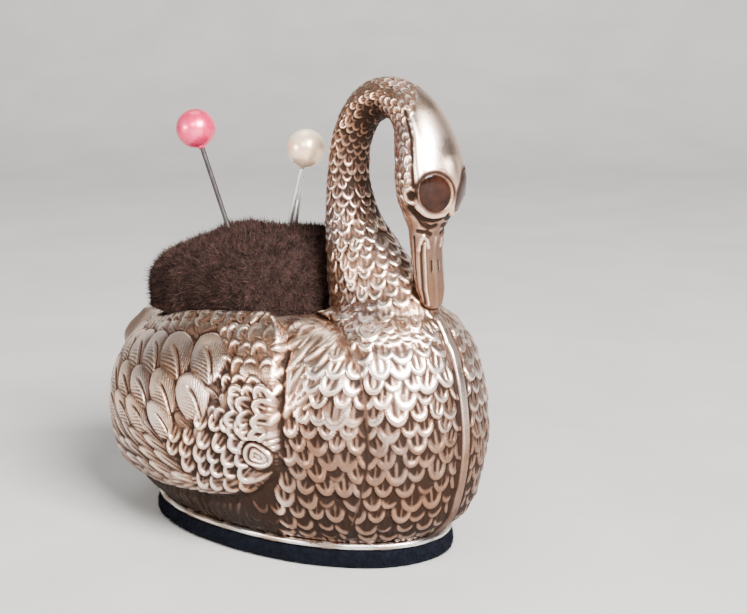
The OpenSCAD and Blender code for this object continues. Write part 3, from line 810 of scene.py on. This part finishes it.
def piece(name, verts, faces, body, material, slot=None, **values):
    """A mesh object from points in millimetres, with its normals turned outwards, riding on a body."""
    mesh = bpy.data.meshes.new(name)
    mesh.from_pydata((np.asarray(verts, float) * MM).tolist(), [], [tuple(f) for f in faces])
    bm = bmesh.new()
    bm.from_mesh(mesh)
    bmesh.ops.recalc_face_normals(bm, faces=bm.faces)
    bm.to_mesh(mesh)
    bm.free()
    mesh.polygons.foreach_set("use_smooth", [True] * len(mesh.polygons))
    mesh.set_sharp_from_angle(angle=math.radians(70))
    return placed(name, mesh, body, material, values)


# Depth of the inner skin, and height of the body's middle
WALL, MID_HEIGHT = 0.55, 13


def wear(h, radius):
    """How far each point stands out of its surroundings, 0 in a recess to 1 on a rubbed edge."""
    near, wide = h - blurred(h, radius), h - blurred(h, radius * 3)
    return np.clip(0.54 + near / 0.22 + wide / 0.42, 0, 0.95)


def swan_half(name, node, surface, relief, top, side, span, step, cols, centre, hollow_to, shadow,
              swell=None):
    """Both mirror pieces of a half of the swan, which stand in for the CAD's node_right and node_left."""
    u, angle, flat = even_grid(surface, top, side, span, step, cols)
    n = grid_normals(flat, flat - centre(u))
    points = flat.copy()
    if swell:
        up, reach = swell(angle, u)
        points += n * up[..., None]
        points[..., 0] -= reach
        inner = flat + n * (up * 0.8 - WALL)[..., None]
        inner[..., 0] -= reach * 0.9
        n = grid_normals(points, n)
    else:
        inner = flat - n * WALL
    # a raised seam in a valley where breast and body meet
    h = relief(flat, u, angle)
    edge = np.linalg.norm(flat - (flat[:, -1:] if hollow_to < top else flat[:, :1]), axis=-1)
    seam = bell(edge, 0, 0.24) * (u < 9.5)
    valley = 0.3 * bell(edge, 0, 1.15) * smooth(1.5, 3.5, u) * (u < 9.5)
    h = h * (1 - seam) + 0.22 * seam - valley
    points = points + n * (h - 0.12)[..., None]
    # the centre plane, where the two halves meet
    for j in (0, cols - 1):
        at_seam = np.abs(flat[:, j, 1]) < 1e-3
        points[at_seam, j, 1] = 0
        inner[at_seam, j, 1] = 0
    points[..., 1] = np.minimum(points[..., 1], 0)
    inner[..., 1] = np.minimum(inner[..., 1], 0)
    inner_rows = len(u) if hollow_to >= top else int(np.searchsorted(u[:, 0], hollow_to)) + 1
    verts, faces = half_skin(points, inner, inner_rows)
    # colour level of the skins: tarnish in recesses and rubbed edges from the relief, painted shade low down
    # and more on the front, the painted shade and painted highlight of the shadow function, and painted shade
    # where the skin faces the floor
    front, high = smooth(7, 11, points[..., 0]), points[..., 2]
    rubbed_and_shaded = wear(h, 4) - (0.16 + 0.14 * front) * fall(4, 19, high)
    rubbed_and_shaded = rubbed_and_shaded - shadow(u, angle) - 0.2 * smooth(0, 0.7, -n[..., 2])
    # painted shade: the lower front is kept from getting bright
    rubbed_and_shaded = np.minimum(rubbed_and_shaded, 1 - 0.58 * front * fall(11.5, 20.5, high))
    worn = np.concatenate([rubbed_and_shaded.clip(0, 1).ravel(), np.full(len(verts) - h.size, 0.15)])
    for word, sign in (("right", 1), ("left", -1)):
        skin = piece(f"{name}_{word}", verts * [1, sign, 1], faces, "swan", SILVER, "silver", worn=worn)
        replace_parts(skin, f"{node}_{word}")


def body_centre(u):
    return np.stack([0 * u, 0 * u, MID_HEIGHT + 0 * u], -1)


def neck_centre(u):
    q = through(BREAST, u)
    high = smooth(5, 6.5, u)
    return np.stack([q[..., 0] * high, 0 * u, MID_HEIGHT + (q[..., 1] - MID_HEIGHT) * high], -1)


def body_shadow(u, phi):
    """Painted shade under the wing's edge, and on the shoulder painted shade low down with a painted highlight
    above it.
    """
    under_wing = 0.55 * smooth(66, 69, phi) * fall(-0.2, 0.15, u - wing_edge(phi))
    return under_wing + fall(60, 66, phi) * (0.1 * fall(3.6, 5.2, u) - 0.12 * smooth(4.6, 5.6, u))


swan_half("swan_body", "body_shell", body_point, body_relief, BODY_END, lambda u: 95.0,
          lambda u: (float(furrow(u)), 180.0), lambda u: 0.108, 350, body_centre, BODY_END, body_shadow,
          lambda phi, u: (wing_rise(phi, u), tail_reach(phi, u)))
swan_half("swan_breast_neck", "breast_neck", neck_point, neck_relief, BREAST_END,
          lambda u: min(80.0, float(end_angle(u)) * 0.7), lambda u: (0.0, float(end_angle(u))),
          curve([0, 6, 8, 33], [0.13, 0.125, 0.1, 0.085]), 112, neck_centre, 24, neck_tarnish_and_painted_light)


# ---------------------------------------------------------------- eyes


def eye(name, sign):
    """Flat glass dome, oval, with a rounded edge, in its seat."""
    look, side, rise = eye_axes()
    long_axis = -side * math.sin(EYE_SLANT) + rise * math.cos(EYE_SLANT)
    short_axis = side * math.cos(EYE_SLANT) + rise * math.sin(EYE_SLANT)
    around = 72
    slope = np.linspace(0.03, math.pi / 2, 26)
    profile = [(1.7 * math.sin(s), 0.42 * math.cos(s) ** 1.1 - 0.2) for s in slope]
    profile += [(1.66, -0.6), (1.3, -0.8)]
    verts = []
    for r, deep in profile:
        for k in range(around):
            a = 2 * math.pi * k / around
            across = short_axis * r * math.cos(a)
            verts.append(EYE_AT + across + long_axis * r * 1.19 * math.sin(a) + look * deep)
    verts = np.array(verts) * [1, sign, 1]
    return piece(name, verts, capped_faces(len(profile), around), "swan", EYE, "eye_glass")


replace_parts(eye("eye_glass_right", 1), "eye_right")
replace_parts(eye("eye_glass_left", -1), "eye_left")


# ---------------------------------------------------------------- foot: rim wire, board and velvet pad
FOOT_L, FOOT_W, PAD_H = 17.9, 10.6, 1.75


def foot_outline(count):
    """Points of the foot's outline, evenly spaced."""
    a = np.linspace(0, 2 * math.pi, count, endpoint=False)
    x = FOOT_L * signed_pow(np.cos(a), 2 / BODY_SQUARE)
    y = FOOT_W * signed_pow(np.sin(a), 2 / BODY_SQUARE)
    pts = np.stack([x, y], -1)
    closed = np.concatenate([pts, pts[:1]])
    arc = run_length(closed)
    at = np.linspace(0, arc[-1], count, endpoint=False)
    return np.stack([np.interp(at, arc, closed[:, 0]), np.interp(at, arc, closed[:, 1])], -1)


def outwards(path):
    """Unit directions straight out from a closed outline."""
    ahead = unit(np.roll(path, -1, 0) - np.roll(path, 1, 0))
    return np.stack([ahead[:, 1], -ahead[:, 0]], -1)


def rim_wire(name, around=18):
    """Round wire on top of the pad, slightly uneven along its length."""
    path = foot_outline(420)
    turn = np.linspace(0, 2 * math.pi, around, endpoint=False)
    verts = []
    for k, (place, out) in enumerate(zip(path, outwards(path))):
        wide = 0.43 + (0.02 * math.sin(k * 0.37) + 0.015 * math.sin(k * 0.11 + 1))
        verts += [(*(place + out * (0.02 + wide * math.cos(t))), PAD_H + 0.425 + 0.42 * math.sin(t))
                  for t in turn]
    faces = (np.array(tube_faces(len(path) + 1, around)) % len(verts)).tolist()
    worn = np.clip(0.62 + 0.3 * np.sin(np.arange(len(verts)) * 0.013), 0, 1)
    return piece(name, verts, faces, "swan", RIM_SILVER, "polished_silver", worn=worn)


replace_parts(rim_wire("foot_rim_wire"), "foot_rim")


def pad_mesh(name):
    """Velvet-covered pad under the foot: flat below, rounded edges, slightly uneven."""
    path = foot_outline(360)
    out, count = outwards(path), len(path)
    edge = [(0.0, 0.0), (0.22, 0.02), (0.42, 0.22), (0.5, 0.6),
            (0.5, 1.1), (0.4, 1.5), (0.15, 1.72), (-0.5, PAD_H)]
    verts = []
    for by, z in edge:
        for k, (x, y) in enumerate(path + out * by):
            wave = 0.04 * math.sin(k * 0.21) + 0.03 * math.sin(k * 0.067 + z * 2)
            s = 1 + wave / 20 * (0 < z < 1.7)
            verts.append((x * s, y * s, z))
    faces = tube_faces(len(edge), count)
    low, high, top = len(verts), len(verts) + 1, (len(edge) - 1) * count
    verts += [(0, 0, 0), (0, 0, PAD_H)]
    for k in range(count):
        m = (k + 1) % count
        faces += [(low, m, k), (high, top + k, top + m)]
    return piece(name, verts, faces, "swan", NAVY_VELVET, "navy_velvet")


def blades(name, roots, normals, lean, length, width, body, material, parts=3, curl=0.45):
    """Short bent fibres: each is a tapering blade of a few triangles, with its root sunk in the surface."""
    count = len(roots)
    long = length * (1 + rng.normal(0, 0.25, count)).clip(0.4, 1.7)
    across = unit(np.cross(normals, rng.normal(size=(count, 3))))
    sway = unit(normals + rng.normal(0, 0.38, (count, 3)) + lean)
    bend = rng.normal(0, curl, (count, 3))
    verts = []
    for k in range(parts):
        f = k / parts
        spine = roots + (sway * f + bend * f * f * 0.6) * long[:, None] - normals * 0.05
        wide = width * (1 - 0.45 * f)
        verts += [spine - across * wide / 2, spine + across * wide / 2]
    verts.append(roots + (sway + bend * 0.6) * long[:, None])
    per = 2 * parts + 1
    verts = np.stack(verts, 1).reshape(-1, 3)
    base = np.arange(count) * per
    # two triangles for each part of a blade, and one for its tip
    corners = []
    for a in range(0, 2 * parts - 2, 2):
        corners += [(a, a + 1, a + 3), (a, a + 3, a + 2)]
    corners.append((2 * parts - 2, 2 * parts - 1, 2 * parts))
    faces = [base[:, None] + c for c in corners]
    verts[:, 2] = np.maximum(verts[:, 2], 0)
    shade = np.repeat(rng.random(count) ** 1.5, per)
    return loose_piece(name, verts, np.concatenate(faces), body, material, shade)


def loose_piece(name, verts, tris, body, material, shade):
    """Triangles straight into a mesh object, for many loose fibres."""
    mesh = bpy.data.meshes.new(name)
    mesh.vertices.add(len(verts))
    mesh.vertices.foreach_set("co", (np.asarray(verts) * MM).astype(np.float32).ravel())
    mesh.loops.add(tris.size)
    mesh.loops.foreach_set("vertex_index", tris.astype(np.int32).ravel())
    mesh.polygons.add(len(tris))
    mesh.polygons.foreach_set("loop_start", np.arange(0, tris.size, 3, dtype=np.int32))
    mesh.update(calc_edges=True)
    mesh.validate()
    return placed(name, mesh, body, material, {"shade": shade})


def fetched(items, key, kind=np.float32):
    """What a mesh's vertices or triangles hold, as rows of three."""
    data = np.zeros(len(items) * 3, kind)
    items.foreach_get(key, data)
    return data.reshape(-1, 3)


def scattered(obj, count, keep):
    """Random points spread evenly over a mesh's faces where keep(points, normals) holds, in millimetres."""
    mesh = obj.data
    mesh.calc_loop_triangles()
    co = fetched(mesh.vertices, "co") / MM
    tri = fetched(mesh.loop_triangles, "vertices", np.int32)
    a, b, c = (co[tri[:, k]] for k in range(3))
    cross = np.cross(b - a, c - a)
    area = np.linalg.norm(cross, axis=1)
    normal = cross / np.maximum(area, 1e-12)[:, None]
    good = keep((a + b + c) / 3, normal)
    weight = np.where(good, area, 0)
    pick = rng.choice(len(area), count, p=weight / weight.sum())
    s, t = rng.random(count), rng.random(count)
    flip = s + t > 1
    s, t = np.where(flip, 1 - s, s), np.where(flip, 1 - t, t)
    points = a[pick] + (b - a)[pick] * s[:, None] + (c - a)[pick] * t[:, None]
    return points, normal[pick]


pad = pad_mesh("foot_pad_velvet")
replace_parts(pad, "base_cover")
where, facing = scattered(pad, 26000, lambda p, n: (p[:, 2] > 0.12) & (np.abs(n[:, 2]) < 0.98))
where[:, 2] = np.maximum(where[:, 2], 0.16)
blades("foot_pad_pile", where, facing, np.zeros(3), 0.16, 0.05, "swan", NAVY_VELVET, 2)


# ---------------------------------------------------------------- the cushion
# Cushion sections: height in front and behind, half length in front and behind, half width, lift at the sides
DOME = [
    [22.4, 19.0, 4.8, 17.1, 8.8, 1],
    [24.3, 20.9, 4.9, 17.4, 9.1, 1],
    [25.0, 21.5, 4.9, 19.5, 10.0, 1],
    [27.2, 24.2, 4.8, 19.8, 10.1, 0.5],
    [29.3, 26.7, 4.4, 18.6, 9.6, 0.15],
    [30.8, 28.9, 3.3, 15.8, 8.1, 0],
    [31.4, 30.3, 1.3, 11.6, 5.3, 0],
]


def dome_point(u, phi):
    """Point of the cushion all round, with a squarer front."""
    q = through(DOME, u)
    c, s = np.cos(np.radians(phi)), np.sin(np.radians(phi))
    n = 2 / (2.1 + 0.6 * smooth(0, 1, c))
    x = np.where(c > 0, q[..., 2], q[..., 3]) * signed_pow(c, n)
    y = -q[..., 4] * signed_pow(s, n)
    z = q[..., 1] + (q[..., 0] - q[..., 1]) * (1 + c) / 2 + q[..., 5] * mouth_lift(np.minimum(phi, 360 - phi))
    return np.stack([x, y, z], -1)


def cushion_mesh():
    """Points and faces of the dome, its low middle inside the body."""
    around, rows = 120, 34
    us = np.linspace(0, len(DOME) - 1, rows)
    phi = np.linspace(0, 360, around, endpoint=False)
    side = dome_point(np.repeat(us[:, None], around, 1), np.repeat(phi[None], rows, 0))
    rings = [side[i] for i in range(rows)]
    top = np.array([-5.5, 0, 31.5])
    for f in (0.8, 0.6, 0.4, 0.2):
        rings.append(top + (side[-1] - top) * [f, f, f * f * 0.9])
    low = np.array([-6, 0, 19.8])
    verts = np.concatenate(rings + [top[None], low[None]])
    faces = tube_faces(len(rings), around)
    last, a, b = (len(rings) - 1) * around, len(verts) - 2, len(verts) - 1
    for k in range(around):
        m = (k + 1) % around
        faces += [(last + k, last + m, a), (m, k, b)]
    return verts, faces


# The cushion's rim is held below this height by the body
HELD_BELOW = 22.2


def puffed(obj, frames, pressure, cap):
    """Blender's Cloth fills the piece at 20 times its size, with each point's move capped in millimetres."""
    big = 20.0
    rest = np.array([v.co for v in obj.data.vertices])
    for v, p in zip(obj.data.vertices, rest):
        v.co = Vector(p * big)
    pinned = obj.vertex_groups.new(name="held")
    pinned.add([v.index for v in obj.data.vertices if v.co.z < HELD_BELOW * MM * big], 1.0, "REPLACE")
    cloth = obj.modifiers.new("puff", "CLOTH")
    cloth.settings.effector_weights.gravity = 0
    for key, value in dict(use_pressure=True, uniform_pressure_force=pressure, mass=0.3, tension_stiffness=20,
                           compression_stiffness=8, bending_stiffness=2, vertex_group_mass="held").items():
        setattr(cloth.settings, key, value)
    cloth.point_cache.frame_start, cloth.point_cache.frame_end = 1, frames
    for f in range(1, frames + 1):
        bpy.context.scene.frame_set(f)
    done = obj.evaluated_get(bpy.context.evaluated_depsgraph_get())
    moved = np.array([v.co for v in done.data.vertices]) / big
    obj.modifiers.remove(cloth)
    bpy.context.scene.frame_set(1)
    shift = moved - rest
    far = np.linalg.norm(shift, axis=1)
    scale = np.minimum(1, cap * MM / np.maximum(far, 1e-9))
    for v, p, d, s in zip(obj.data.vertices, rest, shift, scale):
        v.co = Vector(p + d * s)
    return far.max() / MM


verts, faces = cushion_mesh()
middle = np.array([-6, 0, 24.0])
# a little smaller than the CAD's dome, to leave room for the lumps and the pile
verts = middle + (verts - middle) * [0.99, 0.985, 0.985]
cushion = piece("cushion_velvet", verts, faces, "swan", BROWN_VELVET, "brown_velvet")
bpy.context.view_layer.objects.active = cushion
remesh = cushion.modifiers.new("even", "REMESH")
remesh.mode, remesh.voxel_size = "VOXEL", 0.00045
with bpy.context.temp_override(object=cushion, active_object=cushion, selected_objects=[cushion]):
    bpy.ops.object.modifier_apply(modifier="even")
print("cushion: cloth moved up to", round(puffed(cushion, 16, 3.0, 0.3), 2), "mm before the cap")


def lumps(p):
    """Slow unevenness of hand-stuffed wool, in millimetres."""
    x, y, z = p[:, 0], p[:, 1], p[:, 2]
    return (0.16 * np.sin(x * 0.55 + 1.2 * np.sin(y * 0.4)) + 0.12 * np.sin(y * 0.8 + z * 0.6 + 2)
            + 0.1 * np.sin(x * 1.3 - y * 0.9 + z * 0.7) + 0.07 * np.sin(x * 2.1 + y * 1.7 - z * 1.9))


mesh = cushion.data
p = fetched(mesh.vertices, "co", float) / MM
p = p + fetched(mesh.vertices, "normal", float) * (lumps(p) - 0.12)[:, None]
mesh.vertices.foreach_set("co", (p * MM).ravel())
mesh.update()
mesh.polygons.foreach_set("use_smooth", [True] * len(mesh.polygons))
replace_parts(cushion, "cushion_cover")
for k in range(2):
    where, facing = scattered(
        cushion, 36000, lambda p, n: (p[:, 2] > 21.2 + p[:, 0] * 0.1) & (n[:, 2] > -0.5))
    blades(f"cushion_pile_{k + 1}", where, facing, np.array([0, 0, 0.1 * k]), 0.38, 0.06, "swan",
           BROWN_FIBRE, 3, 1.0)

# the CAD's own pieces inside, which are hidden
for node, material in (("base_board", WOOD), ("stuffing", WOOL)):
    nodes[node].data.materials.clear()
    nodes[node].data.materials.append(material)


# ---------------------------------------------------------------- pins and needle


def turned(name, top, lean, profile, body, material, slot, around=48):
    """A lathed piece from (distance down from top, radius) pairs, leaning backwards by lean degrees."""
    t = math.radians(lean)
    axis = np.array([math.sin(t), 0, math.cos(t)])
    side, across = np.array([math.cos(t), 0, -math.sin(t)]), np.array([0, 1, 0])
    top = np.array(top, float)
    verts = []
    for down, r in profile:
        for k in range(around):
            a = 2 * math.pi * k / around
            verts.append(top - axis * down + (side * math.cos(a) + across * math.sin(a)) * max(r, 0.004))
    return piece(name, verts, capped_faces(len(profile), around), body, material, slot)


def pearl_profile(r):
    """Bead with a small dimple on top and a drop of glue where the shank enters."""
    pts = [(-r + 0.07, 0.03), (-r + 0.045, 0.12), (-r + 0.02, 0.24)]
    pts += [(-r * math.cos(a), r * math.sin(a)) for a in np.linspace(0.17, math.pi - 0.24, 44)]
    return pts + [(r - 0.02, 0.46), (r + 0.09, 0.4), (r + 0.2, 0.27)]


def shank_profile(head_r):
    """Wire from inside the bead to its point."""
    point = [(2.5, 1), (1.2, 0.72), (0.3, 0.24)]
    return [(head_r - 0.3, PIN_R), *((PIN_L - up, PIN_R * part) for up, part in point), (PIN_L, 0.02)]


# Each pin: its colour, middle of its head, lean, radius of its head, and materials
PIN_R, PIN_L = 0.25, 28.0
PINS = (
    ("pink", (-12.5, -2.5, 41.4), -25, 2.1, PINK, STEEL_DARK),
    ("cream", (0.25, 1.0, 39.8), 17, 2.0, CREAM, STEEL_BRIGHT),
)
for colour, top, lean, r, pearl, steel in PINS:
    pin = f"{colour}_pin"
    head = turned(f"{pin}_pearl", top, lean, pearl_profile(r), pin, pearl, f"{colour}_pearl", 96)
    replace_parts(head, f"{pin}_head")
for colour, top, lean, r, pearl, steel in PINS:
    pin = f"{colour}_pin"
    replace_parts(turned(f"{pin}_wire", top, lean, shank_profile(r), pin, steel, "steel_wire"), f"{pin}_shank")

NEEDLE_TOP, NEEDLE_LEAN, NEEDLE_L, NEEDLE_R = (-2.5, 3.4, 36.6), 13, 26.0, 0.3
profile = [(0, 0.05), (0.05, 0.1), (0.2, 0.16), (0.5, 0.2), (1.6, 0.24), (3.2, 0.27), (5.0, NEEDLE_R)]
profile += [(NEEDLE_L - up, NEEDLE_R * part) for up, part in ((6, 1), (2.5, 0.8), (0.8, 0.35))]
profile.append((NEEDLE_L, 0.02))
needle = turned("needle_polished", NEEDLE_TOP, NEEDLE_LEAN, profile, "needle", STEEL_BRIGHT, "needle_steel")
# The eye is cut by a thin turned piece, widened sideways so that it goes right through
profile = [(0.55, 0.02), (0.6, 0.06), (0.75, 0.085), (1.7, 0.085), (1.9, 0.06), (1.95, 0.02)]
cutter = turned("needle_eye_cutter", NEEDLE_TOP, NEEDLE_LEAN, profile, "needle", STEEL_BRIGHT, None, 18)
for v in cutter.data.vertices:
    p = np.array(v.co) / MM
    p[1] = NEEDLE_TOP[1] + (p[1] - NEEDLE_TOP[1]) * 12
    v.co = Vector(p * MM)
cut = needle.modifiers.new("eye", "BOOLEAN")
cut.operation, cut.object, cut.solver = "DIFFERENCE", cutter, "EXACT"
with bpy.context.temp_override(object=needle, active_object=needle, selected_objects=[needle]):
    bpy.ops.object.modifier_apply(modifier="eye")
bpy.data.objects.remove(cutter)
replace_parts(needle, "needle")


# ---------------------------------------------------------------- floor, lights and camera
# The camera is AZ round and EL up, DIST metres from TARGET, where its picture is VIEW_WIDE metres across
AZ, EL, DIST, VIEW_WIDE = math.radians(41), math.radians(10.7), 0.160, 0.0747
TARGET, AIM = Vector((0.0103, 0, 0.0246)), Vector((0.002, 0, 0.022))


def floor_and_wall():
    """Pale sweep: floor that curves up into a wall behind the object."""
    toward = Vector((-math.sin(AZ), math.cos(AZ), 0))
    side = Vector((toward.y, -toward.x, 0))
    bend = [(0.35 + 0.25 * math.sin(a), 0.25 - 0.25 * math.cos(a)) for a in np.linspace(0, math.pi / 2, 16)]
    line = [(-1.2, 0.0), *bend, (0.6, 1.6)]
    verts = [tuple(toward * d + side * s + Vector((0, 0, z - 0.00005))) for d, z in line for s in (-1.6, 1.6)]
    faces = [(2 * k, 2 * k + 1, 2 * k + 3, 2 * k + 2) for k in range(len(line) - 1)]
    mesh = bpy.data.meshes.new("floor")
    mesh.from_pydata(verts, [], faces)
    mesh.polygons.foreach_set("use_smooth", [True] * len(faces))
    mesh.materials.append(plain_material("floor_pale", (0.4, 0.4, 0.39), (0.44, 0.44, 0.43), 0.55, 40))
    linked("floor", mesh)


def area_light(name, place, wide, high, power, colour):
    """Soft rectangular light, turned towards the swan."""
    data = bpy.data.lights.new(name, "AREA")
    data.shape, data.size, data.size_y = "RECTANGLE", wide, high
    data.energy, data.color = power, colour
    light = linked(name, data)
    light.location = place
    light.rotation_euler = (AIM - Vector(place)).to_track_quat("-Z", "Y").to_euler()


floor_and_wall()
world = bpy.data.worlds.new("studio")
bpy.context.scene.world = world
world.use_nodes = True
world.node_tree.nodes["Background"].inputs[0].default_value = (0.55, 0.53, 0.52, 1)
world.node_tree.nodes["Background"].inputs[1].default_value = 0.25
area_light("window", (0.28, -0.52, 0.36), 0.2, 0.18, 2.4, (1.0, 0.97, 0.94))
area_light("right", (0.5, -0.16, 0.36), 0.3, 0.24, 24.0, (1.0, 0.97, 0.95))
area_light("left", (-0.2, -0.58, 0.12), 0.2, 0.12, 3.0, (1.0, 0.96, 0.93))
area_light("above", (-0.15, 0.1, 0.55), 0.3, 0.3, 1.0, (0.97, 0.98, 1.0))

back = Vector((math.sin(AZ) * math.cos(EL), -math.cos(AZ) * math.cos(EL), math.sin(EL)))
camera_data = bpy.data.cameras.new("camera")
camera_data.sensor_width = 36
camera_data.lens = camera_data.sensor_width * DIST / VIEW_WIDE
camera_data.clip_start, camera_data.clip_end = 0.005, 10
camera = linked("camera", camera_data)
camera.location = TARGET + back * DIST
camera.rotation_euler = (-back).to_track_quat("-Z", "Y").to_euler()
bpy.context.scene.camera = camera

bpy.context.view_layer.update()
